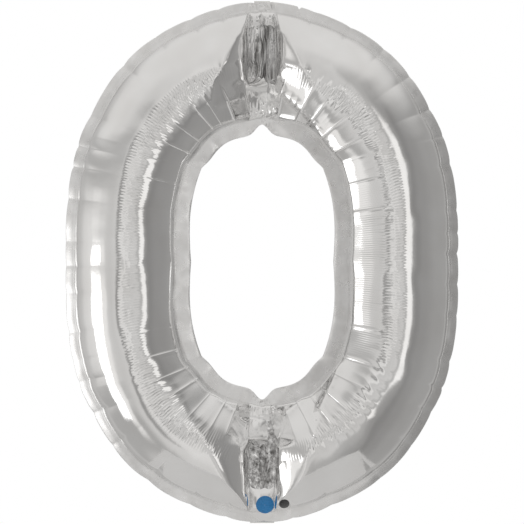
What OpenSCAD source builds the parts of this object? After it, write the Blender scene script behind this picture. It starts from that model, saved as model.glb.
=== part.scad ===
// Foil number balloon, the figure 0, inflated.
// It stands upright: X runs across, Y runs from front (-) to rear (+), Z runs up.
// The origin is on the floor line under the middle of the lowest edge, in the plane of the seams.

/* [Envelope] */
// Radius of the outline's round top and bottom
end_radius = 306; // [280:2:310]
// Stretch of the outline: the figure is wider than its end circles by twice this, and taller by 14 times
stretch = 18; // [14:1:20]
// Width of the inflated ring, from the outline to the edge of the centre hole
ring_w = 211; // [170:1:215]
// Depth of the inflated tube, front to rear
depth = 158; // [110:2:160]
// Thickness of one film panel as modelled
film = 0.6; // [0.5:0.1:1]

/* [Seams] */
// Width of the flat weld margin along the outline
outer_margin = 16; // [8:1:20]
// Width of the flat weld margin round the centre hole
inner_margin = 24; // [8:1:26]
// Thickness of the fused layer between the two panels
seal = 1; // [0.8:0.1:1.4]

/* [Tie welds] */
// Length of each spot weld that holds the panels together across the ring
tie_len = 116; // [60:2:120]
// Width of each spot weld
tie_w = 42; // [24:1:48]
// How far the hollow over a weld widens to each side, from the weld to the crest of the tube
lean_across = 60; // [30:2:80]
// How far it widens at each end
lean_along = 14; // [6:1:18]
// Distance from the top outline to the middle of the upper weld
upper_tie_in = 94; // [88:1:100]
// Distance from the bottom outline to the middle of the lower weld
lower_tie_in = 112; // [104:1:118]

/* [Valve] */
// Width of the two valve films
valve_w = 34; // [24:1:38]
// Thickness of one valve film as modelled
valve_film = 0.5; // [0.4:0.1:0.5]
// Length of valve that reaches into the gas space
valve_reach = 34; // [20:1:34]

/* [Tail] */
// Width of the filling tail
tail_w = 40; // [36:1:60]
// Length of the filling tail
tail_len = 66; // [40:1:70]
// Radius of the tail's free corners
tail_corner = 8; // [3:1:15]
// Angle that the stored tail is folded through, from straight down
tail_fold = 120; // [100:1:124]
// Diameter of the ribbon hole in the tail
ribbon_hole_d = 5; // [3:0.5:6]

/* [Hang tab] */
// Width of the hang tab
tab_w = 26; // [18:1:40]
// Length of the hang tab
tab_len = 28; // [20:1:34]
// Diameter of the punched hole in the hang tab
hang_hole_d = 5; // [3:0.5:6]
// Angle that the stored tab is folded through, from straight up
tab_fold = 120; // [100:1:124]

/* [Hidden] */
$fn = 128;

half_seal = seal / 2;
crest = depth / 2;

// The outline is an oval of four arcs that meet without a corner. The centres of its end arcs and side
// arcs stand on the legs of a right triangle with sides 7, 24 and 25.
end_centre = 7 * stretch;
side_centre = 24 * stretch;
side_radius = end_radius + 25 * stretch;
half_h = end_radius + end_centre;
height = 2 * half_h;
// The walls between the arcs' sectors run in the direction where two arcs meet, well past the outline.
wall_reach = 40;
join_x = 24 * wall_reach;
join_y = 7 * wall_reach;

// One half of the tube's section is an arc that stands on the two seams and peaks at the crest.
seam_half = (ring_w - outer_margin - inner_margin) / 2;
rise = crest - half_seal;
tube_radius = (seam_half * seam_half + rise * rise) / (2 * rise);
tube_mid = outer_margin + seam_half;
tube_axis = crest - tube_radius;

crease_gap = 2.1;
crease_lift = 0.5;
valve_clear = 0.2;
valve_start = outer_margin + 1.4;
past = 2;
overlap = 1;

// Stands up what is drawn lying in the XY plane with the front of the balloon facing up.
module stand() {
  translate([0, 0, half_h]) rotate([90, 0, 0]) children();
}

// The sector of the lying oval that belongs to one end arc.
module end_sector() {
  linear_extrude(height = 2 * depth, center = true) polygon([
    [0, end_centre], [join_x, end_centre + join_y], [join_x, 2 * half_h],
    [-join_x, 2 * half_h], [-join_x, end_centre + join_y]
  ]);
}

// The sector of the lying oval that belongs to one side arc.
module side_sector() {
  linear_extrude(height = 2 * depth, center = true) polygon([
    [-side_centre, 0], [join_x, end_centre + join_y], [join_x, -end_centre - join_y]
  ]);
}

// Sweeps a profile round the oval. The profile's x runs from the outline (0) inward (negative).
module around_oval() {
  for (end = [0, 180]) rotate(end) {
    intersection() {
      end_sector();
      translate([0, end_centre]) rotate_extrude() translate([end_radius, 0]) children();
    }
    intersection() {
      side_sector();
      translate([-side_centre, 0]) rotate_extrude() translate([side_radius, 0]) children();
    }
  }
}

// A flat band of the ring, between two distances in from the outline.
module band(from, to, low, high) {
  translate([-to, low]) square([to - from, high - low]);
}

// Half of the tube's section, at a given skin radius.
module half_tube(radius) {
  intersection() {
    translate([-tube_mid, tube_axis]) circle(r = radius, $fn = 256);
    translate([-ring_w, half_seal]) square([ring_w, depth]);
  }
}

// A long prism whose two sides lean out, by a given amount, from the weld to the crest. To give its walls
// their film's thickness, it grows by that much square to them.
module leaning_prism(floor_w, lean, floor_height, grow) {
  wall = grow / cos(atan2(lean, crest));
  half_floor = floor_w / 2 + wall + lean * floor_height / crest;
  half_mouth = floor_w / 2 + wall + lean * (crest + past) / crest;
  rotate([90, 0, 0]) linear_extrude(height = 2 * tie_len, center = true) polygon([
    [-half_floor, floor_height], [half_floor, floor_height],
    [half_mouth, crest + past], [-half_mouth, crest + past]
  ]);
}

// The hollow over one tie weld, with four leaning walls.
module tie_pocket(floor_height, grow) {
  intersection() {
    leaning_prism(tie_w, lean_across, floor_height, grow);
    rotate(90) leaning_prism(tie_len, lean_along, floor_height, grow);
  }
}

// Both pockets, in their places.
module tie_pockets(floor_height, grow) {
  translate([0, half_h - upper_tie_in]) tie_pocket(floor_height, grow);
  translate([0, lower_tie_in - half_h]) tie_pocket(floor_height, grow);
}

// One film panel, lying with its outside up.
module panel() {
  difference() {
    difference() {
      around_oval() union() {
        band(0, ring_w, half_seal, half_seal + film);
        half_tube(tube_radius);
      }
      tie_pockets(half_seal + film, 0);
    }
    difference() {
      around_oval() half_tube(tube_radius - film);
      tie_pockets(0, film);
    }
  }
}

// A spot weld with round ends, lying.
module tie_weld() {
  straight = (tie_len - tie_w) / 2;
  translate([0, 0, -half_seal]) linear_extrude(height = seal) union() {
    square([tie_w, 2 * straight], center = true);
    for (end = [-1, 1]) translate([0, end * straight]) circle(d = tie_w);
  }
}

// A flap of film that starts at a crease and runs up, with two round free corners.
module flap(flap_w, flap_len, corner, thick, hole_d, hole_at) {
  rotate([90, 0, 0]) linear_extrude(height = thick) difference() {
    union() {
      translate([-flap_w / 2, crease_gap]) square([flap_w, flap_len - corner - crease_gap]);
      translate([corner - flap_w / 2, flap_len - corner - overlap])
        square([flap_w - 2 * corner, corner + overlap]);
      for (side = [-1, 1]) translate([side * (flap_w / 2 - corner), flap_len - corner]) circle(r = corner);
    }
    translate([0, hole_at]) circle(d = hole_d);
  }
}

module front_panel() {
  color("silver") stand() panel();
}

module rear_panel() {
  color("silver") stand() mirror([0, 0, 1]) panel();
}

// The fused margin along the outline, left open where the valve passes through.
module outer_seal() {
  color("gainsboro") stand() difference() {
    around_oval() band(0, outer_margin, -half_seal, half_seal);
    translate([0, -half_h, 0]) cube([valve_w, 2 * (outer_margin + past), 2 * seal], center = true);
  }
}

module inner_seal() {
  color("gainsboro") stand() around_oval() band(ring_w - inner_margin, ring_w, -half_seal, half_seal);
}

module upper_tie_weld() {
  color("lightgray") stand() translate([0, half_h - upper_tie_in, 0]) tie_weld();
}

module lower_tie_weld() {
  color("lightgray") stand() translate([0, lower_tie_in - half_h, 0]) tie_weld();
}

// The front film runs through the neck, between the weld margins, into the gas space.
module valve_front_film() {
  reach = outer_margin + valve_reach;
  color("whitesmoke") translate([-valve_w / 2, -half_seal, past]) cube([valve_w, valve_film, reach - past]);
}

// The rear film lies on the front one and lifts away from it as gas or a nozzle comes in.
module valve_rear_film() {
  reach = outer_margin + valve_reach;
  color("white") translate([-valve_w / 2, valve_clear + valve_film - half_seal, valve_start])
    cube([valve_w, valve_film, reach - valve_start]);
}

// The tail hangs from a crease under the lowest edge and is stored folded back and up.
module tail_place() {
  translate([0, 0, -crease_lift]) rotate([tail_fold + 180, 0, 0]) children();
}

module tail_front_film() {
  color("silver") tail_place() translate([0, film, 0])
    flap(tail_w, tail_len, tail_corner, film, ribbon_hole_d, tail_len - 2 * tail_corner);
}

module tail_rear_film() {
  color("silver") tail_place()
    flap(tail_w, tail_len, tail_corner, film, ribbon_hole_d, tail_len - 2 * tail_corner);
}

// The tab stands on a crease over the highest edge and is stored folded back and down.
module hang_tab() {
  color("silver") translate([0, 0, height + crease_lift]) rotate([-tab_fold, 0, 0])
    translate([0, film, 0])
      flap(tab_w, tab_len, tab_w / 4, 2 * film, hang_hole_d, tab_len - tab_w / 2);
}

front_panel();
rear_panel();
outer_seal();
inner_seal();
upper_tie_weld();
lower_tie_weld();
valve_front_film();
valve_rear_film();
tail_front_film();
tail_rear_film();
hang_tab();
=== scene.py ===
import math

import bpy
import numpy as np
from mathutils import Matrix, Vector
from mathutils.bvhtree import BVHTree


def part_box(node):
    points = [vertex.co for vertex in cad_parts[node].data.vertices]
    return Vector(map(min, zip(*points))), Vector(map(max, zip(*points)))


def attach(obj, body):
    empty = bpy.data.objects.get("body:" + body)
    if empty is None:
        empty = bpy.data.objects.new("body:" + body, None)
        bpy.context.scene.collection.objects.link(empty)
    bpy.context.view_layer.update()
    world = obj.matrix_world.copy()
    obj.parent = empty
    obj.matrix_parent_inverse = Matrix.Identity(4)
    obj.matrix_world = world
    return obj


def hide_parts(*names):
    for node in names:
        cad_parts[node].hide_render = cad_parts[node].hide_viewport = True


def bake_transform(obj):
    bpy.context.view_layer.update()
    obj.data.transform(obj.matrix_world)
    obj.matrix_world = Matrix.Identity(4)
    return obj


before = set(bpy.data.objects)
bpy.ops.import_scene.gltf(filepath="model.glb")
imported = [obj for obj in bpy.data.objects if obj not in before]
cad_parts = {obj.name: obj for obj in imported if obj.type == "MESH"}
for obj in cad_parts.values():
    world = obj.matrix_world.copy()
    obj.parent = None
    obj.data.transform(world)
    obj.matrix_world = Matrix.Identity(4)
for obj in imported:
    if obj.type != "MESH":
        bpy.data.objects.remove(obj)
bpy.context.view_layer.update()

MM = 0.001
TOP, BOTTOM = 1, -1
LEFT, RIGHT = -1, 1
FRONT, REAR = -1, 1

# ---------------------------------------------------------------- sizes, from the frame
panel_low, panel_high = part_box("front_panel")
HEIGHT = round(panel_high.z - panel_low.z, 3)
WIDTH = round(panel_high.x - panel_low.x, 3)
CREST = round(-panel_low.y, 4)
MID_Z = HEIGHT / 2

# The outline is an oval of four arcs. The centres of its end arcs and side arcs stand on the legs of a
# right triangle with sides 7, 24 and 25.
STRETCH = (HEIGHT - WIDTH) / 12
END_R = WIDTH / 2 - STRETCH
SIDE_R = END_R + 25 * STRETCH
END_CENTRE = 7 * STRETCH
SIDE_CENTRE = 24 * STRETCH
JOIN = math.atan2(7, 24)

# Distances in from the outline: the outer seam, the inner seam, the hole's edge, the middle of the tube.
SEAM_OUT = 16 * MM
SEAM_IN = 187 * MM
HOLE_IN = 211 * MM
SEAM_HALF = (SEAM_IN - SEAM_OUT) / 2
TUBE_MID = SEAM_OUT + SEAM_HALF
# The tube's section is an arc over the two seams. Its length round the middle of the ring is ARC.
TUBE_R = (SEAM_HALF ** 2 + CREST ** 2) / (2 * CREST)
TUBE_REACH = math.asin(SEAM_HALF / TUBE_R)
ARC = 2 * (END_R - TUBE_MID) * (math.pi - 2 * JOIN) + 2 * (SIDE_R - TUBE_MID) * 2 * JOIN

weld_box = {TOP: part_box("upper_tie_weld"), BOTTOM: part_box("lower_tie_weld")}
WELD_HALF = weld_box[TOP][1].x


def weld_span(end):
    """How far in from the outline the weld at one end starts and stops."""
    low, high = weld_box[end]
    return (HEIGHT - high.z, HEIGHT - low.z) if end == TOP else (low.z, high.z)


# ---------------------------------------------------------------- curves and noise
def smooth(t):
    """0 up to 0, 1 from 1 on, and a soft curve between."""
    t = np.clip(t, 0, 1)
    return t * t * (3 - 2 * t)


def rise(value, start, over):
    """0 up to start, 1 from start + over on, and a soft curve between."""
    return smooth((value - start) / over)


def hump(t):
    """A half ellipse: 1 at 0, and 0 from -1 and 1 outward."""
    return np.sqrt(np.clip(1 - t ** 2, 0, 1))


def peak(value, middle, reach):
    """1 at the middle, about a third at that reach on both sides, and fading to 0."""
    return np.exp(-((value - middle) / reach) ** 2)


def plateau(value, middle, reach):
    """Like peak, but flat on top and steeper at its sides."""
    return np.exp(-((value - middle) / reach) ** 4)


def zigzag(phase):
    """A folded line between 0 and 1."""
    return np.abs(2 * (phase % 1) - 1)


def noise(seed, a, b, around=509):
    """Smooth noise from -1 to 1 over two coordinates counted in lumps. It repeats after that many of a."""
    size = 512
    table = np.random.default_rng(seed).uniform(-1, 1, (size, size))
    i, j = np.floor(a).astype(int), np.floor(b).astype(int)
    s, t = (d ** 3 * (6 * d ** 2 - 15 * d + 10) for d in (a - i, b - j))
    near, far, low, high = i % around, (i + 1) % around, j % size, (j + 1) % size
    below = table[near, low] * (1 - s) + table[far, low] * s
    above = table[near, high] * (1 - s) + table[far, high] * s
    return below * (1 - t) + above * t


def ring_noise(seed, turn, count, across=0.0):
    """Smooth noise with that many lumps round the ring. The coordinate across it is counted in lumps."""
    return noise(seed, turn * count, across, count)


def crushed(seed, a, b, folds=7):
    """Crushed foil: flat facets between sharp folds that run every way, from 0 to 1."""
    random = np.random.default_rng(seed)
    total, weight = 0, 0
    for k in range(folds):
        way, pitch, shift = random.uniform(0, math.pi), random.uniform(0.7, 2.2), random.uniform(0, 1)
        bend = 0.5 * noise(seed + k, a * 0.6 + 30, b * 0.6 + 30)
        phase = (a * math.cos(way) + b * math.sin(way)) / pitch + shift + bend
        total = total + pitch * zigzag(phase)
        weight += pitch
    return total / weight


def tie_crush(seed, x, across, size, depth, reach):
    """Crushed foil in line with the ties: the size and depth of its facets, and its reach to each side."""
    return depth * (crushed(seed, x / size, across / size) - 0.5) * plateau(x, 0, reach)


# ---------------------------------------------------------------- the oval ring
# Where the gas pushes the ring out (+) or the ties draw it in (-), at the outline and at the hole's edge:
# degrees above and below the sides, reach in degrees, and how far.
SWELL_OUTLINE = ((12, 9, 7 * MM), (68, 16, -5 * MM))
SWELL_HOLE = ((11, 11, 12 * MM), (76, 22, -9.5 * MM))


def swell(angle, inset):
    """How far the ring stands outside its plain oval, in that direction and that far in."""
    above = np.degrees(np.arcsin(np.abs(np.sin(angle))))
    outer, hole = (
        sum(far * peak(above, at, reach) for at, reach, far in rows) for rows in (SWELL_OUTLINE, SWELL_HOLE)
    )
    part = rise(inset, SEAM_OUT, SEAM_IN - SEAM_OUT)
    return outer * (1 - part) + hole * part


def oval(angle, inset):
    """x and z of the point in that direction, that far inside the outline."""
    wrapped = (angle + math.pi) % (2 * math.pi) - math.pi
    side = np.abs(np.sin(wrapped)) < math.sin(JOIN)
    radius = np.where(side, SIDE_R, END_R) - inset + swell(angle, inset)
    x = np.where(side, -SIDE_CENTRE * np.sign(np.cos(wrapped)), 0.0) + radius * np.cos(wrapped)
    z = np.where(side, 0.0, END_CENTRE * np.sign(np.sin(wrapped))) + radius * np.sin(wrapped)
    return x, z + MID_Z


def ring_columns(count):
    """Directions of the columns and how far round the ring they are, closer together near the ties."""
    steps, crowding, reach = 20000, 1.6, 50 * MM
    fine = np.linspace(0, 2 * math.pi, steps + 1)
    x, z = oval(fine, TUBE_MID)
    step = np.hypot(np.diff(x), np.diff(z))
    middle = (x[1:] + x[:-1]) / 2
    crowded = step * (1 + crowding * peak(middle, 0, reach))
    along = np.concatenate([[0], np.cumsum(crowded)])
    arc = np.concatenate([[0], np.cumsum(step)])
    angles = np.interp(np.linspace(0, along[-1], count, endpoint=False), along, fine)
    return angles, np.interp(angles, fine, arc)


def ring_rows(count):
    """The rows' distances in from the outline, closer together where the film is crinkled."""
    steps, crowding, middle, reach = 2000, 1.5, 110 * MM, 22 * MM
    inset = TUBE_MID + TUBE_R * np.sin(np.linspace(-TUBE_REACH, TUBE_REACH, steps + 1))
    crowded = np.cumsum(1 + crowding * peak(inset, middle, reach))
    return np.interp(np.linspace(crowded[0], crowded[-1], count), crowded, inset)


ROWS, COLUMNS = 52, 1800
INSETS = ring_rows(ROWS)
ANGLES, ARCS = ring_columns(COLUMNS)
TURNS = ARCS / ARC

PUCKERS = 40


def cusps(turn):
    """1 at the cusps between the puckers along the outer seam, and 0 in the middle of each pucker."""
    phase = turn * PUCKERS + 0.35 * ring_noise(3, turn, 23)
    return 1 - np.abs(np.sin(math.pi * phase))


def scallop(turn):
    """How far the outline is drawn in between the puckers."""
    depth = 1.5 * MM * (1.2 + ring_noise(5, turn, 31))
    return depth * cusps(turn) ** 2


# ---------------------------------------------------------------- the film's shape
# How far the hollow at a tie reaches to each side, against the distance in from the outline, in mm.
RIDGE = {
    TOP: ((10, 24), (36, 29), (48, 36), (73, 51), (98, 67), (123, 89), (148, 112), (173, 138), (190, 150)),
    BOTTOM: ((10, 22), (30, 30), (45, 42), (60, 60), (95, 84), (140, 118), (158, 142), (190, 180)),
}

# Folds in the film beside the ties: x and distance in at both ends, height and breadth, all in mm.
FOLDS = {
    TOP: (
        (24, 54, 56, 52, 2.0, 3), (24, 99, 80, 102, 3.0, 5), (-26, 55, -46, 58, 1.5, 3),
        (-30, 92, -70, 96, 2.0, 5), (-24, 150, -80, 150, 2.5, 5), (-76, 100, -84, 148, 2.0, 6),
        (28, 138, 110, 182, 4.0, 9), (30, 104, 36, 150, 2.0, 5),
    ),
    BOTTOM: (
        (30, 62, 30, 156, 2.5, 4), (-24, 62, -24, 152, 1.5, 3), (24, 90, 40, 94, 1.5, 2.5),
        (62, 80, 108, 166, 3.0, 6), (84, 150, 130, 180, 3.0, 6), (-30, 166, -84, 186, 2.5, 5),
        (30, 162, 76, 188, 3.0, 6),
    ),
}


def tube_height(inset):
    """The tube's section: round, with its crest a little inward and a flatter slope to the inner seam."""
    crest_shift, flat_from, flat_r, wall_rise = 3.5 * MM, 130 * MM, 136 * MM, 0.62
    off = inset - TUBE_MID
    shifted = off - crest_shift * (1 - (off / SEAM_HALF) ** 2)
    height = TUBE_R * np.sqrt(np.clip(1 - (shifted / TUBE_R) ** 2, 0, 1)) + CREST - TUBE_R
    tilt = math.asin((flat_from - TUBE_MID - crest_shift) / TUBE_R)
    flat_mid = flat_from - flat_r * math.sin(tilt)
    drop = TUBE_R * math.cos(tilt) + CREST - TUBE_R - flat_r * math.cos(tilt)
    slope = drop + np.sqrt(flat_r ** 2 - np.clip(inset - flat_mid, 0, flat_r) ** 2)
    wall = wall_rise * np.sqrt(np.clip(SEAM_IN - inset, 0, 1))
    inner = np.minimum(slope, wall)
    return np.maximum(np.where(inset > flat_from, inner, height), 0)


def puff(inset, start, stop, height):
    """A low round bulge between two distances in from the outline."""
    return height * hump((inset - (start + stop) / 2) / ((stop - start) / 2))


def puffs(x, inset, end):
    """The low bulges in line with a weld, between it and both seams. The one above the top weld is double."""
    start, stop = weld_span(end)
    lobes = hump((np.abs(x) - 11 * MM) / (12 * MM)) if end == TOP else hump(x / (26 * MM))
    outer = puff(inset, SEAM_OUT, start + 2 * MM, 10 * MM) * lobes
    inner = puff(inset, stop - 3 * MM, SEAM_IN + 1 * MM, 0.4 * (SEAM_IN - stop)) * hump(x / (22 * MM))
    return outer + inner


def film_height(x, z, inset):
    """How far the film stands in front of the seams' plane: a tube that a weld draws in at each end."""
    fuller = 4.5 * MM * peak(inset, 128 * MM, 28 * MM) * rise(-x, 0, 100 * MM)
    height = tube_height(inset - fuller)
    for end in (TOP, BOTTOM):
        ridge = np.interp(inset, *(np.array(row) * MM for row in zip(*RIDGE[end])))
        away = np.clip((ridge - np.abs(x)) / (ridge - WELD_HALF), 0, 1)
        slope = (1 - 0.42 * away ** 1.6) * np.sqrt(1 - away ** 14)
        base = puffs(x, inset, end)
        pinched = base + (height - base) * slope
        height = np.where((z - MID_Z) * end > 0, np.minimum(height, pinched), height)
    return height


def fold_relief(x, z, inset, flip):
    """The folds beside the ties, as sharp ridges that fade at both ends. flip is -1 to mirror them."""
    relief = np.zeros_like(x)
    for end in (TOP, BOTTOM):
        here = (z - MID_Z) * end > 0
        for x0, in0, x1, in1, height, breadth in FOLDS[end]:
            start = np.array((x0 * flip, in0)) * MM
            run = np.array((x1 * flip, in1)) * MM - start
            length = math.hypot(*run)
            along = ((x - start[0]) * run[0] + (inset - start[1]) * run[1]) / length ** 2
            off = np.abs((x - start[0]) * run[1] - (inset - start[1]) * run[0]) / length
            ends = rise(along, -0.05, 0.25) * rise(1 - along, -0.05, 0.25)
            relief += here * ends * height * MM * np.exp(-off / (breadth * MM))
    return relief


# ---------------------------------------------------------------- wrinkles in the film
COMB_TEETH, FINE_TEETH, RIBS = 390, 470, 96


def lumps(inset, turn, seed):
    """Broad, low unevenness all over the panel."""
    broad = 1.1 * MM * ring_noise(seed, turn, 22, inset / (60 * MM))
    return broad + 0.5 * MM * ring_noise(seed + 1, turn, 60, inset / (30 * MM))


def comb(inset, turn, round_end, seed):
    """Fine ripples side by side, just inward of the crest."""
    height, middle, reach = 1.7 * MM, 108 * MM, 17 * MM
    waver = (0.5 + 0.4 * round_end) * ring_noise(seed + 3, turn, 60, inset / (20 * MM))
    teeth = np.abs(np.sin(math.pi * (turn * COMB_TEETH + waver))) - 0.6
    return height * teeth * peak(inset, middle, reach) * (1 - 0.15 * round_end)


def fine_comb(z, inset, turn):
    """A second, very fine comb along the straight sides, low on the inner slope."""
    height, middle, reach, half_length, fade = 0.12 * MM, 153 * MM, 13 * MM, 170 * MM, 50 * MM
    straight = rise(half_length - np.abs(z - MID_Z), 0, fade)
    return height * np.sin(2 * math.pi * turn * FINE_TEETH) * straight * peak(inset, middle, reach)


def ribs(inset, turn, round_end, seed):
    """Broader ripples among those of the comb."""
    height, middle, reach = 1.0 * MM, 114 * MM, 24 * MM
    phase = turn * RIBS + 0.9 * ring_noise(seed + 4, turn, 40, inset / (50 * MM))
    rib = height * (0.5 - np.abs(np.sin(math.pi * phase)))
    return rib * peak(inset, middle, reach) * (0.35 + 0.4 * round_end)


def speckle(x, z, inset, round_end, patch, seed):
    """Small crumpled facets between the ripples."""
    height, size, middle, reach = 3.4 * MM, 7 * MM, 110 * MM, 12 * MM
    crumple = crushed(seed + 9, x / size, z / size, 5) - 0.5
    place = plateau(inset, middle, reach) * (0.3 + 0.15 * round_end)
    return height * crumple * (0.3 + 0.7 * patch) * place


def pleats(inset, turn, round_end):
    """Creases that run in from the cusps along the outer seam."""
    depth, length, start = 1.0 * MM, 16 * MM, 7 * MM
    place = peak(inset, SEAM_OUT, length) * rise(inset, SEAM_OUT, start)
    return -depth * (0.25 + 0.75 * round_end) * cusps(turn) ** 3 * place


def gathers(x, z, inset, seed):
    """Crushed film beside both seams, in line with the ties. It is nearly smooth under the lower tie."""
    crush = tie_crush(seed + 5, x, inset, 7 * MM, 6 * MM, 21 * MM)
    lower_edge = (z < MID_Z) & (inset < 60 * MM)
    beside_seams = np.maximum(peak(inset, 0, 36 * MM), peak(inset, SEAM_IN, 34 * MM))
    return crush * np.where(lower_edge, 0.15, 1) * beside_seams


def wrinkles(x, z, inset, turn, seed):
    """All the small relief of a panel, apart from its folds and creases."""
    near_tie = plateau(x, 0, 85 * MM)
    round_end = rise(np.abs(z - MID_Z), 100 * MM, 100 * MM)
    patch = smooth(0.55 + 0.7 * ring_noise(seed + 2, turn, 26, inset / (45 * MM)))
    patch = np.maximum(patch, 0.85 * (1 - round_end))
    rough = comb(inset, turn, round_end, seed) * patch + ribs(inset, turn, round_end, seed)
    rough = rough + speckle(x, z, inset, round_end, patch, seed)
    rough = rough * rise(inset, 92 * MM, 9 * MM) * (1 - near_tie)
    uneven = lumps(inset, turn, seed) * (1 - 0.75 * near_tie)
    at_seams = pleats(inset, turn, round_end) + gathers(x, z, inset, seed)
    return uneven + rough + fine_comb(z, inset, turn) + at_seams


# Heights from the middle of the figure: the sides are plain between the first two, but for a crease at
# each of the others.
PLAIN_LOW, PLAIN_HIGH = -140 * MM, 110 * MM
PLAIN_CREASES = (-118 * MM, 90 * MM)


def crease_columns(seed):
    """Columns where a crease runs in to the inner seam, with uneven gaps and hardly any on the sides."""
    random = np.random.default_rng(seed)
    x, z = oval(ANGLES, TUBE_MID)
    level = z - MID_Z
    columns, at = [], 12 * MM
    while at < ARC - 30 * MM:
        column = int(np.argmin(np.abs(ARCS - at)))
        if not PLAIN_LOW < level[column] < PLAIN_HIGH:
            columns.append(column)
        at += random.uniform(26, 52) * MM
    for height in PLAIN_CREASES:
        for side in (LEFT, RIGHT):
            other_side = x * side < 0
            columns.append(int(np.argmin(np.abs(level - height) + other_side)))
    return sorted(columns)


def facet(points, columns):
    """Draws the inner slope of the tube straight from crease to crease."""
    weight = rise(INSETS, 118 * MM, 16 * MM) * (1 - 0.75 * rise(INSETS, 176 * MM, 11 * MM))
    count = points.shape[1]
    for first, last in zip(columns, columns[1:] + [columns[0] + count]):
        span = np.arange(first, last) % count
        t = (np.arange(first, last) - first)[None, :, None] / (last - first)
        straight = points[:, first, None] * (1 - t) + points[:, last % count, None] * t
        points[:, span] += weight[:, None, None] * (straight - points[:, span])
    return points


def crease_relief(columns, seed):
    """Thin raised lines along the creases, each of its own height and length."""
    breadth = 2.2 * MM
    random = np.random.default_rng(seed)
    relief = np.zeros((ROWS, COLUMNS))
    for column in columns:
        height = random.uniform(0.4, 1.5) * MM
        start = random.uniform(112, 138) * MM
        fade = rise(INSETS, start, 10 * MM) * rise(SEAM_IN - INSETS, 0, 5 * MM)
        relief += height * fade[:, None] * np.exp(-np.abs(ARCS - ARCS[column]) / breadth)[None, :]
    return relief


def grid_normals(points):
    """Unit normals of a grid that closes on itself along its rows."""
    along = np.roll(points, -1, 1) - np.roll(points, 1, 1)
    across = np.gradient(points, axis=0)
    normal = np.cross(along, across)
    return normal / np.maximum(np.linalg.norm(normal, axis=-1, keepdims=True), 1e-12)


# ---------------------------------------------------------------- materials
def warm(bright):
    """A grey of that brightness, a little on the warm side."""
    return bright, bright * 0.985, bright * 0.965, 1


class Nodes:
    """A node tree that is built by short calls. A value is a number, a colour or another node's output."""

    def __init__(self, tree):
        self.nodes, self.links = tree.nodes, tree.links

    def put(self, socket, value):
        """Links a node's output to a socket, or sets the socket to a number or colour."""
        if isinstance(value, bpy.types.NodeSocket):
            self.links.new(value, socket)
        else:
            socket.default_value = value

    def add(self, kind, inputs, **settings):
        """A new node with its settings and inputs."""
        node = self.nodes.new("ShaderNode" + kind)
        for name, value in settings.items():
            setattr(node, name, value)
        for name, value in inputs.items():
            self.put(node.inputs[name], value)
        return node

    def operate(self, operation, *values):
        """The result of a sum on one or two values."""
        return self.add("Math", dict(enumerate(values)), operation=operation).outputs[0]

    def mix(self, factor, a, b):
        """A colour between a, at factor 0, and b, at factor 1."""
        return self.add("Mix", {"Factor": factor, "A": a, "B": b}, data_type="RGBA").outputs["Result"]

    def ease(self, value, start, stop):
        """0 below start and 1 above stop, or the other way round if stop is lower."""
        first, last = (0, 1) if stop > start else (1, 0)
        inputs = {"Value": value, "From Min": min(start, stop), "From Max": max(start, stop)}
        inputs |= {"To Min": first, "To Max": last}
        return self.add("MapRange", inputs, interpolation_type="SMOOTHSTEP").outputs[0]


class Paint(Nodes):
    """A material whose colour, roughness and relief come from noise in the object's own coordinates."""

    # The part of a noise's range that its values mostly lie in.
    LOW, HIGH = 0.3, 0.7

    def __init__(self, name, metallic=0.0):
        self.material = bpy.data.materials.new(name)
        self.material.use_nodes = True
        super().__init__(self.material.node_tree)
        self.coords = self.add("TexCoord", {}).outputs["Object"]
        self.relief = None
        self.set("Metallic", metallic)

    def set(self, name, value):
        """Sets one of the shader's inputs, or links a node's output to it."""
        self.put(self.nodes["Principled BSDF"].inputs[name], value)

    def noise(self, scale, detail=2.0, coords=None):
        """Noise with about that many lumps in a metre."""
        vector = self.coords if coords is None else coords
        return self.add("TexNoise", {"Scale": scale, "Detail": detail, "Vector": vector}).outputs["Fac"]

    def color(self, value, dark, light):
        """The surface's colour, from dark to light as the noise rises."""
        node = self.add("ValToRGB", {"Fac": value})
        for element, position, shade in zip(node.color_ramp.elements, (self.LOW, self.HIGH), (dark, light)):
            element.position = position
            element.color = (*shade, 1)
        self.set("Base Color", node.outputs["Color"])

    def roughness(self, value, low, high):
        """The surface's roughness, from low to high as the noise rises."""
        inputs = {"Value": value, "From Min": self.LOW, "From Max": self.HIGH, "To Min": low, "To Max": high}
        self.set("Roughness", self.add("MapRange", inputs).outputs[0])

    def bump(self, value, height):
        """Relief of that height, on top of the relief that is there already."""
        node = self.add("Bump", {"Height": value, "Strength": 1.0, "Distance": height})
        if self.relief is not None:
            self.put(node.inputs["Normal"], self.relief)
        self.relief = node.outputs["Normal"]
        self.set("Normal", self.relief)


def foil():
    """Metallised film: a near mirror with a fine crinkle and a slight haze."""
    paint = Paint("mirror_foil", metallic=1.0)
    paint.color(paint.noise(14), (0.84, 0.835, 0.83), (0.9, 0.9, 0.9))
    paint.roughness(paint.noise(30), 0.07, 0.13)
    paint.bump(paint.noise(120, 3), 0.06 * MM)
    paint.bump(paint.noise(600), 0.01 * MM)
    return paint.material


def foil_seam():
    """The fused margin: the same film, duller, with the fine grain of the sealing iron."""
    paint = Paint("sealed_foil", metallic=1.0)
    paint.color(paint.noise(40), (0.8, 0.795, 0.79), (0.9, 0.9, 0.9))
    paint.roughness(paint.noise(60), 0.24, 0.36)
    grain = paint.add("TexVoronoi", {"Scale": 700, "Vector": paint.coords})
    paint.bump(paint.noise(160, 3), 0.08 * MM)
    paint.bump(grain.outputs["Distance"], 0.02 * MM)
    return paint.material


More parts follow.
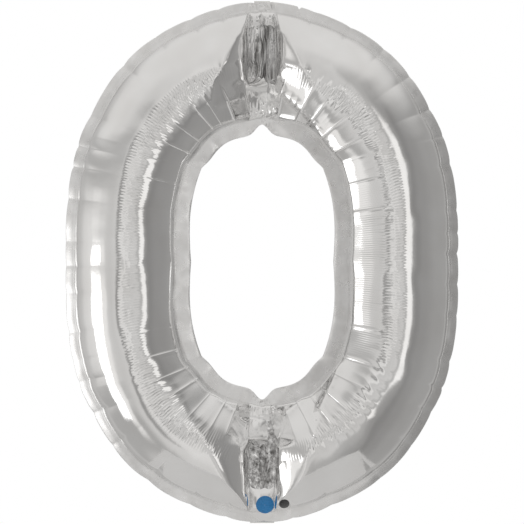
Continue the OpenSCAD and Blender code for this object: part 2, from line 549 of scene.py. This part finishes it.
def gathered_foil_painted_shade(name, along):
    """Foil that is gathered over a tie, with painted shade in its valleys and painted highlight on its folds,
    drawn out upward if along is small.
    """
    paint = Paint(name, metallic=1.0)
    stretched = paint.add("Mapping", {"Vector": paint.coords, "Scale": (1, 1, along)}).outputs["Vector"]
    folds = paint.noise(130, 3, stretched)
    # The colour is painted shade, dark, in the valleys and painted highlight, light, on the folds; the bump
    # below is the real relief.
    paint.color(folds, (0.17, 0.165, 0.16), (0.95, 0.95, 0.95))
    paint.roughness(paint.noise(60), 0.05, 0.1)
    paint.bump(folds, 0.5 * MM)
    return paint.material


def valve_film():
    """Thin milky polyethylene."""
    paint = Paint("milky_film")
    paint.color(paint.noise(90), (0.78, 0.8, 0.82), (0.9, 0.92, 0.93))
    paint.roughness(paint.noise(200), 0.25, 0.45)
    paint.bump(paint.noise(300), 0.05 * MM)
    paint.set("Transmission Weight", 0.35)
    paint.set("IOR", 1.5)
    return paint.material


def print_ink(name, dark, light):
    """A flat coat of ink on the film."""
    paint = Paint(name)
    paint.color(paint.noise(500), dark, light)
    paint.roughness(paint.noise(300), 0.2, 0.35)
    paint.bump(paint.noise(900), 0.01 * MM)
    return paint.material


MATERIALS = {
    "foil": foil(),
    "foil_seam": foil_seam(),
    "valve_film": valve_film(),
    "print_ink": print_ink("blue_ink", (0.02, 0.2, 0.5), (0.03, 0.27, 0.62)),
}


# ---------------------------------------------------------------- meshes
def add_mesh(name, points, faces, body, slot, stands_for=()):
    """A piece from points and faces of one size, on its body and with its slot."""
    faces = np.asarray(faces, dtype=np.int32)
    count, corners = faces.shape
    mesh = bpy.data.meshes.new(name)
    mesh.vertices.add(len(points))
    mesh.vertices.foreach_set("co", np.asarray(points, dtype=np.float32).ravel())
    mesh.loops.add(faces.size)
    mesh.loops.foreach_set("vertex_index", faces.ravel())
    mesh.polygons.add(count)
    mesh.polygons.foreach_set("loop_start", np.arange(0, faces.size, corners, dtype=np.int32))
    mesh.polygons.foreach_set("loop_total", np.full(count, corners, dtype=np.int32))
    mesh.update()
    mesh.validate()
    mesh.shade_smooth()
    obj = bpy.data.objects.new(name, mesh)
    bpy.context.scene.collection.objects.link(obj)
    obj.data.materials.append(MATERIALS[slot])
    if body:
        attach(obj, body)
    if stands_for:
        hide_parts(*stands_for)
    return obj


def grid_faces(rows, columns, round_columns=False, round_rows=False, flip=False):
    """The faces of a grid of points, which may close on itself either way. flip turns them over."""
    index = np.arange(rows * columns).reshape(rows, columns)
    if round_columns:
        index = np.concatenate([index, index[:, :1]], 1)
    if round_rows:
        index = np.concatenate([index, index[:1]], 0)
    a, b, c, d = index[:-1, :-1], index[:-1, 1:], index[1:, 1:], index[1:, :-1]
    faces = np.stack([a, b, c, d] if flip else [a, d, c, b], -1)
    return faces.reshape(-1, 4)


def slab_mesh(name, under, over, faces, body, slot, stands_for=()):
    """A thin closed piece between two sheets of the same faces, with its edges walled."""
    used = np.unique(faces)
    renumber = np.zeros(len(under), int)
    renumber[used] = np.arange(len(used))
    faces = renumber[faces]
    under, over = under[used], over[used]
    edges = np.concatenate([np.stack([faces[:, k], faces[:, (k + 1) % 4]], 1) for k in range(4)])
    seen = {(a, b) for a, b in edges.tolist()}
    rim = np.array([(b, a) for a, b in seen if (b, a) not in seen])
    rim = rim[np.lexsort((rim[:, 1], rim[:, 0]))]
    count = len(under)
    walls = np.stack([rim[:, 0], rim[:, 1], rim[:, 1] + count, rim[:, 0] + count], 1)
    all_faces = np.concatenate([faces, faces[:, ::-1] + count, walls])
    return add_mesh(name, np.concatenate([over, under]), all_faces, body, slot, stands_for)


# ---------------------------------------------------------------- panels, margins and tie welds
def film(name, side, seed, node):
    """One panel between its seams. side is which way it bulges."""
    least_lift, full_relief_from, pucker_length = 0.3 * MM, 12 * MM, 25 * MM
    angle, inset = np.meshgrid(ANGLES, INSETS)
    turn = np.broadcast_to(TURNS, angle.shape)
    drawn_in = scallop(turn) * np.exp(-(inset - SEAM_OUT) / pucker_length)
    x, z = oval(angle, inset + drawn_in)
    columns = crease_columns(seed)
    points = facet(np.stack([x, -film_height(x, z, inset), z], -1), columns)
    relief = wrinkles(x, z, inset, turn, seed) + fold_relief(x, z, inset, -side)
    relief += crease_relief(columns, seed)
    hold = rise(inset, SEAM_OUT, 9 * MM) * rise(SEAM_IN - inset, 0, 7 * MM)
    room = np.clip(-points[..., 1:2] / full_relief_from, 0.15, 1)
    points += grid_normals(points) * (relief * hold)[..., None] * room
    points[..., 1] = np.minimum(points[..., 1], -least_lift)
    points[..., 1] *= -side
    points, faces = points.reshape(-1, 3), grid_faces(ROWS, COLUMNS, True, flip=side == REAR)
    add_mesh(name, points, faces, "envelope", "foil", (node,))
    return points.tolist(), faces.tolist()


def closed_section(profile):
    """A margin's section, from its front half as distances in and heights in mm. Both come as columns."""
    points = profile + tuple((inset, -lift) for inset, lift in reversed(profile[:-1]))
    inset, lift = (np.array(row)[:, None] * MM for row in zip(*points))
    return inset, lift


def notch_arc():
    """Where the small cut in the outline is, right of the top."""
    right_of_top = 64 * MM
    x, z = oval(ANGLES, 0)
    return ARCS[int(np.argmin(np.hypot(x - right_of_top, z - HEIGHT)))]


def outer_seam():
    """The fused margin along the outline, with puckers. Its free edge leans to the rear at both sides."""
    inset, thick = closed_section((
        (18, -0.5), (16.5, -0.75), (15, -0.75), (13, -0.6), (12, -0.75), (9, -0.8), (5, -0.75), (4, -0.6),
        (1.5, -0.6), (0.3, -0.4), (0, 0),
    ))
    notch_depth, notch_half, tuck, lean_by = 4 * MM, 1.5 * MM, 1.6 * MM, 9 * MM
    free = np.clip(1 - inset / SEAM_OUT, 0, 1)
    notch = notch_depth * peak(ARCS[None], notch_arc(), notch_half) * free
    x, z = oval(ANGLES[None], inset + scallop(TURNS)[None] + notch)
    wave = 0.65 * MM * ring_noise(11, TURNS, 60) + 0.3 * MM * np.sin(2 * math.pi * TURNS * PUCKERS)
    lean = -tuck + lean_by * rise(x, 60 * MM, 200 * MM) + lean_by * rise(-x, 60 * MM, 200 * MM)
    crush = tie_crush(81, x, inset, 7 * MM, 5 * MM, 23 * MM) * (z > MID_Z)
    calm = 1 - plateau(x, 0, 30 * MM)
    y = thick + free * (lean + wave[None]) * calm + crush * smooth(free * 3 + 0.5)
    points = np.stack([x, y, z], -1).reshape(-1, 3)
    faces = grid_faces(len(inset), COLUMNS, True, True)
    add_mesh("outer_seam", points, faces, "envelope", "foil_seam", ("outer_seal",))


def inner_seam():
    """The fused margin round the hole. Both ties draw its edge in to a notch."""
    inset, thick = closed_section((
        (185.5, -0.9), (187, -0.9), (189, -0.9), (193, -0.75), (199, -0.75), (203, -0.6), (207, -0.6),
        (210, -0.5), (210.8, -0.3), (211, 0),
    ))
    notch_depth, notch_half = 13 * MM, 13 * MM
    free = np.clip((inset - SEAM_IN) / (HOLE_IN - SEAM_IN), 0, 1)
    x, z = oval(ANGLES[None], inset)
    notch = notch_depth * peak(x, 0, notch_half) * free
    x, z = oval(ANGLES[None], inset - notch)
    wave = 1.2 * MM * ring_noise(17, TURNS[None], 50, free * 1.5)
    wave = wave + 0.2 * MM * ring_noise(18, TURNS[None], 160, free * 2)
    crush = tie_crush(83, x, z, 8 * MM, 7 * MM, 22 * MM)
    lean = -4.5 * MM + 13 * MM * rise(x, -30 * MM, 60 * MM)
    y = thick + free * (wave - lean * (1 - peak(x, 0, 30 * MM))) + crush * smooth(free * 2)
    points = np.stack([x, y, z], -1).reshape(-1, 3)
    faces = grid_faces(len(inset), COLUMNS, True, True, flip=True)
    add_mesh("inner_seam", points, faces, "envelope", "foil_seam", ("inner_seal",))


def pleated(seed, x, z, s, t):
    """Heights in mm of film gathered into long pleats."""
    bent = x / (8 * MM) + 0.8 * noise(seed, t * 3 + 9, s * 1.5 + 4)
    return 2.6 * zigzag(bent) + 6 * crushed(seed + 1, x / (9 * MM), z / (45 * MM), 4) - 1.5


def crumpled(seed, x, z, s, t):
    """Heights in mm of film crushed into facets, a little higher in the middle."""
    return 9 * crushed(seed + 2, x / (10 * MM), z / (12 * MM), 5) + 1.2 * hump(s) - 2


def tie_weld(name, end, gather, drawn_out, node):
    """A fused pad between the panels, its film gathered."""
    start, stop = weld_span(end)
    past, least_lift, least_width, across, along = 2 * MM, 0.5, 0.04, 72, 190
    s, t = np.meshgrid(np.linspace(-1, 1, across), np.linspace(-1, 1, along))
    half_len = (stop - start) / 2 + past
    round_end = hump(np.clip((np.abs(t) * half_len - (half_len - WELD_HALF)) / WELD_HALF, 0, 1))
    width = (WELD_HALF + past) * np.maximum(round_end, least_width)
    x = s * width + 1.0 * MM * noise(40 + end, t * 7 + 9, s * 1.5 + 3)
    inset = (start + stop) / 2 + t * half_len
    z = HEIGHT - inset if end == TOP else inset
    rim = hump(s) ** 0.6 * hump(t) ** 0.6
    grids = []
    for side, seed in ((FRONT, 50), (REAR, 60)):
        y = side * (least_lift + gather(seed, x, z, s, t) * rim) * MM
        grids.append(np.stack([x, y, z], -1).reshape(-1, 3))
    front = grid_faces(along, across, flip=end == TOP)
    rear = grid_faces(along, across, flip=end == BOTTOM) + across * along
    faces = np.concatenate([front, rear])
    piece = add_mesh(name, np.concatenate(grids), faces, "envelope", "foil_seam", (node,))
    # The pad's colour carries painted shade in its valleys and painted highlight on its folds.
    piece.data.materials[0] = gathered_foil_painted_shade(name + "_foil", drawn_out)


# ---------------------------------------------------------------- tail, hang tab, valve and marks
HOLE_R = 2.5 * MM
# How far outside the outline the creases lie, the angle they are folded through, and their bend's radius.
CREASE_OFF = 0.5 * MM
FOLD = math.radians(120)
BEND_R = 1.2 * MM
# Width, length, radius of the free corners, and distance from the crease to the hole.
TAIL = (40 * MM, 66 * MM, 8 * MM, 50 * MM)
TAB = (26 * MM, 28 * MM, 6.5 * MM, 15 * MM)


def punched(along, across, hole_at, faces):
    """Leaves out the faces in a round hole, and draws its rim to the circle."""
    away = np.hypot(along - hole_at, across)
    faces = faces[(away.ravel()[faces] > HOLE_R * 0.93).any(1)]
    push = np.maximum(HOLE_R / np.maximum(away, 1e-9), 1)
    near = away < HOLE_R
    along = np.where(near, hole_at + (along - hole_at) * push, along)
    return along, np.where(near, across * push, across), faces


def flap(name, end, sizes, low, high, node):
    """A flap of film between two heights in mm from its middle surface. It leaves the margin, folds
    sharply back round its hinge and ends in round corners."""
    width, length, corner, hole_at = sizes
    neck, grid_step, flat_edge, belly_height = 4 * MM, 0.8 * MM, 4 * MM, 0.9 * MM
    hinge_z = HEIGHT + CREASE_OFF if end == TOP else -CREASE_OFF
    tangent = BEND_R * math.tan(FOLD / 2)
    rows, columns = int((length + neck) / grid_step), int(width / grid_step)
    s, along = np.meshgrid(np.linspace(-1, 1, columns), np.linspace(-neck, length, rows))
    left = np.clip(length - along, 0, corner)
    across = s * (width / 2 - corner + np.sqrt(corner ** 2 - (corner - left) ** 2))
    along, across, faces = punched(along, across, hole_at, grid_faces(rows, columns))
    turn = np.clip((along + tangent) / (2 * tangent), 0, 1) * FOLD
    out = np.clip(along - tangent, 0, None)
    into_margin = np.clip(-tangent - along, 0, None)
    path_y = BEND_R * (1 - np.cos(turn)) + math.sin(FOLD) * out
    path_z = tangent - BEND_R * np.sin(turn) - math.cos(FOLD) * out + into_margin
    wave = 0.5 * MM * noise(31, along / (9 * MM) + 20, across / (8 * MM) + 20) * rise(along, 0, 12 * MM)
    belly = rise(along, 0, 15 * MM) * hump(np.clip(across / (width / 2 - flat_edge), -1, 1))
    sheets = []
    for lift in (low, high):
        off = lift * MM + wave + belly_height * belly * np.sign(low + high)
        y = path_y - np.cos(turn) * off
        z = path_z - np.sin(turn) * off
        sheets.append(np.stack([across, y, hinge_z - end * z], -1).reshape(-1, 3))
    piece = slab_mesh(name, *sheets, faces, None, "foil", (node,))
    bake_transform(piece)


def valve(name, body, node, curl_way, clear=0.0):
    """One polyethylene film of the valve, with its two long weld lines. It starts that much further in."""
    low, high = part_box(node)
    rows, columns = 48, 40
    weld_x, weld_half, weld_depth, curl = 14 * MM, 0.7 * MM, 0.12 * MM, 0.4 * MM
    s, t = np.meshgrid(np.linspace(-1, 1, columns), np.linspace(0, 1, rows))
    x = s * high.x
    start = low.z + clear
    z = start + t * (high.z - start)
    weld = weld_depth * peak(np.abs(x), weld_x, weld_half)
    bent = curl_way * curl * t ** 2 * s ** 2
    sheets = [np.stack([x, y + bent, z], -1).reshape(-1, 3) for y in (low.y + weld, high.y - weld)]
    slab_mesh(name, *sheets, grid_faces(rows, columns), body, "valve_film", (node,))


def dot(name, x, z, radius, surface, ink):
    """A plain round printed mark, lying on the front film."""
    least_lift, ink_lift, middle = 0.8 * MM, 0.25 * MM, 0.02
    rings, spokes = 14, 64
    tree = BVHTree.FromPolygons(*surface)
    spoke, ring = np.linspace(0, 2 * math.pi, spokes, endpoint=False), np.linspace(middle, 1, rings) * radius
    r, turn = np.meshgrid(ring, spoke)
    px, pz = (x + r * np.cos(turn)).T, (z + r * np.sin(turn)).T
    points = []
    for a, b in zip(px.ravel(), pz.ravel()):
        hit = tree.ray_cast(Vector((a, -0.5, b)), Vector((0, 1, 0)))[0]
        points.append((a, min(hit.y if hit else 0, -least_lift) - ink_lift, b))
    piece = add_mesh(name, points, grid_faces(rings, spokes, True), "envelope", "print_ink")
    piece.data.materials[0] = ink


# ---------------------------------------------------------------- stage, light and camera
# The studio's walls: direction seen from the balloon and brightness. 0 degrees is toward the camera, with
# the camera's left below 0 and its right above.
WALLS = (
    (-180, 0.6), (-146, 0.46), (-128, 0.56), (-103, 0.74), (-92, 0.78), (-60, 0.72), (-37, 0.62),
    (-20, 0.68), (-7, 0.78), (-1, 0.6), (12, 0.64), (20, 0.46), (36, 0.34), (45, 0.27), (60, 0.31),
    (95, 0.36), (128, 0.37), (146, 0.45), (180, 0.6),
)
# What stands in front of them: from and to in degrees, lowest and highest as the sine of the angle above
# the horizon, brightness, and how soft its edges are in degrees. Some are brighter than the walls behind
# them and some are darker.
SOFT_BOXES = (
    (-135, -24, 0.14, 0.36, 0.48, 5), (-130, -34, -0.82, -0.36, 0.44, 7), (-64, -50, -0.6, 0.02, 0.9, 4),
    (-84, -64, -0.1, 0.08, 0.9, 5), (-23, -16, -0.4, 0.22, 0.34, 2), (22, 35, -0.28, 0.28, 0.98, 2),
)
CEILING, GROUND = 0.75, 0.66


def wall_colors(nodes, degrees):
    """The colour of the walls in each direction, as a ring of soft steps."""
    place = nodes.operate("DIVIDE", nodes.operate("ADD", degrees, 180), 360)
    ramp = nodes.add("ValToRGB", {"Fac": place})
    ramp.color_ramp.interpolation = "EASE"
    elements = ramp.color_ramp.elements
    elements.remove(elements[-1])
    for k, (at, bright) in enumerate(WALLS):
        position = (at + 180) / 360
        element = elements[0] if k == 0 else elements.new(position)
        element.position = position
        element.color = warm(bright)
    return ramp.outputs["Color"]


def studio():
    """A plain room of soft light and dark walls, which the foil mirrors. To the camera it is white."""
    scene = bpy.context.scene
    scene.view_settings.view_transform = "Standard"
    world = bpy.data.worlds.new("studio")
    scene.world = world
    world.use_nodes = True
    nodes = Nodes(world.node_tree)
    coords = nodes.add("TexCoord", {}).outputs["Generated"]
    across, depth, up = nodes.add("SeparateXYZ", {0: coords}).outputs
    toward = nodes.operate("MULTIPLY", depth, -1)
    degrees = nodes.operate("DEGREES", nodes.operate("ARCTAN2", across, toward))
    color = wall_colors(nodes, degrees)
    color = nodes.mix(nodes.ease(up, 0.35, 0.8), color, warm(CEILING))
    color = nodes.mix(nodes.ease(up, -0.8, -0.97), color, warm(GROUND))
    for left, right, low, high, bright, soft in SOFT_BOXES:
        blur = soft / 50  # the same softness for the upper and lower edge, as a sine
        edges = (
            (degrees, left - soft, left + soft), (degrees, right + soft, right - soft),
            (up, low - blur, low + blur), (up, high + blur, high - blur),
        )
        mask = 1.0
        for value, start, stop in edges:
            mask = nodes.operate("MULTIPLY", mask, nodes.ease(value, start, stop))
        color = nodes.mix(mask, color, warm(bright))
    seen = nodes.add("LightPath", {}).outputs["Is Camera Ray"]
    nodes.put(nodes.nodes["Background"].inputs["Color"], nodes.mix(seen, color, (1, 1, 1, 1)))


def side_light():
    """A tall soft box 2.4 m to the balloon's left. Its top is about level with the balloon's middle."""
    brightness = 1.15
    data = bpy.data.lights.new("side_light", "AREA")
    data.shape = "RECTANGLE"
    data.size, data.size_y = 0.95, 1.7
    data.energy = brightness * math.pi * data.size * data.size_y
    obj = bpy.data.objects.new("side_light", data)
    bpy.context.scene.collection.objects.link(obj)
    toward_balloon = math.radians(-73)
    obj.location = (-2.4, -0.75, -0.41)
    obj.rotation_euler = (math.pi / 2, 0, toward_balloon)


def camera():
    """The camera, level with the balloon's middle. The image shows one pixel more above and below it."""
    image, distance = 524, 3.5
    view_height = HEIGHT * image / (image - 2)
    data = bpy.data.cameras.new("camera")
    data.sensor_width = 36
    data.lens = data.sensor_width * distance / view_height
    obj = bpy.data.objects.new("camera", data)
    bpy.context.scene.collection.objects.link(obj)
    obj.location = (0, -distance, MID_Z)
    obj.rotation_euler = (math.pi / 2, 0, 0)
    bpy.context.scene.camera = obj


def floor():
    """A plain pale floor, well below the hanging balloon."""
    half, low = 1.0, -1.0
    corners = ((-half, -half, low), (half, -half, low), (half, half, low), (-half, half, low))
    mesh = bpy.data.meshes.new("floor")
    mesh.from_pydata(corners, [], [(0, 1, 2, 3)])
    obj = bpy.data.objects.new("floor", mesh)
    bpy.context.scene.collection.objects.link(obj)
    paint = Paint("floor_paint")
    paint.set("Base Color", (0.85, 0.85, 0.85, 1))
    paint.set("Roughness", 0.7)
    mesh.materials.append(paint.material)


front_surface = film("front_film", FRONT, 101, "front_panel")
film("rear_film", REAR, 202, "rear_panel")
outer_seam()
inner_seam()
tie_weld("upper_weld", TOP, pleated, 0.14, "upper_tie_weld")
tie_weld("lower_weld", BOTTOM, crumpled, 0.8, "lower_tie_weld")
flap("tail_front", BOTTOM, TAIL, 0.05, 0.45, "tail_front_film")
flap("tail_rear", BOTTOM, TAIL, -0.45, -0.05, "tail_rear_film")
flap("hang_tab_film", TOP, TAB, -0.4, 0.5, "hang_tab")
valve("valve_front", "envelope", "valve_front_film", FRONT)
valve("valve_rear", "valve_leaf", "valve_rear_film", REAR, clear=5 * MM)
black_ink = print_ink("ink_black", (0.008, 0.008, 0.01), (0.02, 0.02, 0.022))
dot("blue_dot", 5 * MM, 31 * MM, 15 * MM, front_surface, MATERIALS["print_ink"])
dot("dark_dot", 36.5 * MM, 36 * MM, 8.5 * MM, front_surface, black_ink)

studio()
side_light()
camera()
floor()
